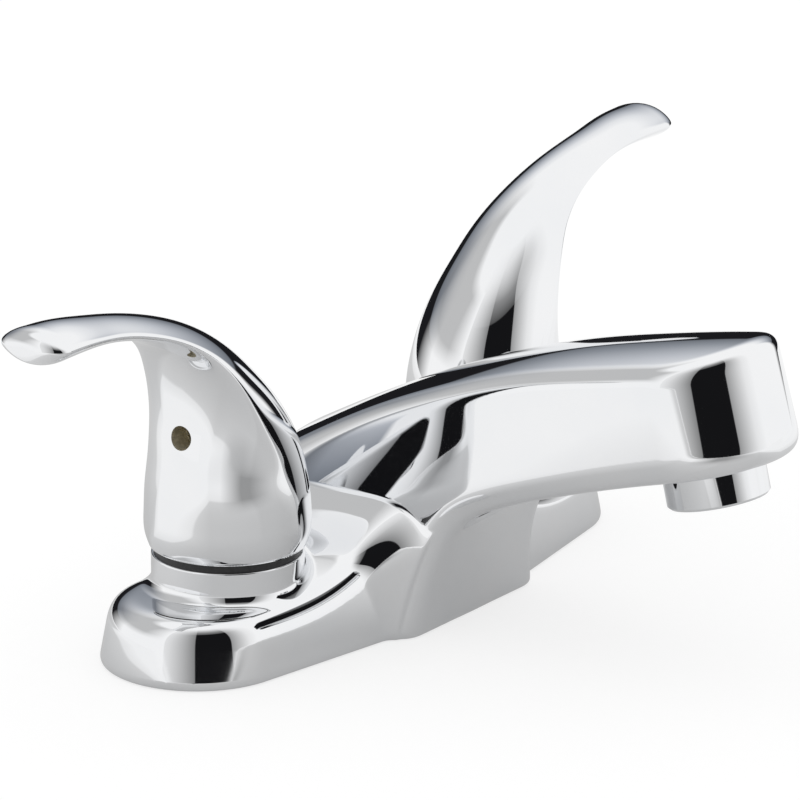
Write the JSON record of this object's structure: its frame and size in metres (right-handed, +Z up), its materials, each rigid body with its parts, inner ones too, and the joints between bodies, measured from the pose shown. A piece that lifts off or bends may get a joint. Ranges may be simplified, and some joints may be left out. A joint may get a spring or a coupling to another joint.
{
  "type": "two-handle bathroom faucet",
  "caption": "Centerset basin faucet: chromed deck base with arched spout and aerator, a lever handle over each valve, threaded shanks below.",
  "frame": {"origin": "centre of the deck base footprint, on the deck plane midway between the two handle axes", "axes": "+Z up from the deck, spout towards -Y, cold handle at +X and hot handle at -X"},
  "size_m": [0.2448, 0.1389, 0.1501],
  "materials": {
    "chrome": "polished chrome plate over zinc",
    "brass": "machined",
    "screw_brass": "darkened",
    "copper": "drawn tube",
    "steel": "stainless",
    "rubber": "matt",
    "dark_plastic": "moulded",
    "pale_plastic": "moulded"
  },
  "bodies": {
    "fixed": {"spout_body": "chrome", "base_gasket": "dark_plastic", "mixing_tee": "pale_plastic", "riser_o_ring": "rubber", "aerator_housing": "chrome", "aerator_screen": "steel", "aerator_insert": "pale_plastic", "aerator_washer": "rubber", "valve_body_hot": "brass", "crossover_tube_hot": "copper", "stem_sleeve_hot": "pale_plastic", "valve_seat_hot": "rubber", "seat_spring_hot": "steel", "bonnet_nut_hot": "brass", "glide_ring_hot": "dark_plastic", "deck_washer_hot": "steel", "wing_nut_hot": "dark_plastic", "valve_body_cold": "brass", "crossover_tube_cold": "copper", "stem_sleeve_cold": "pale_plastic", "valve_seat_cold": "rubber", "seat_spring_cold": "steel", "bonnet_nut_cold": "brass", "glide_ring_cold": "dark_plastic", "deck_washer_cold": "steel", "wing_nut_cold": "dark_plastic"},
    "hot": {"handle_hot": "chrome", "set_screw_hot": "screw_brass", "stem_hot": "brass", "stem_o_ring_hot": "rubber"},
    "cold": {"handle_cold": "chrome", "set_screw_cold": "screw_brass", "stem_cold": "brass", "stem_o_ring_cold": "rubber"}
  },
  "joints": [
    {"name": "hot_handle", "type": "hinge", "parent": "fixed", "child": "hot", "pos_m": [-0.0508, 0, 0], "axis": [0, 0, 1], "range_deg": [0, 90]},
    {"name": "cold_handle", "type": "hinge", "parent": "fixed", "child": "cold", "pos_m": [0.0508, 0, 0], "axis": [0, 0, 1], "range_deg": [-90, 0]}
  ]
}
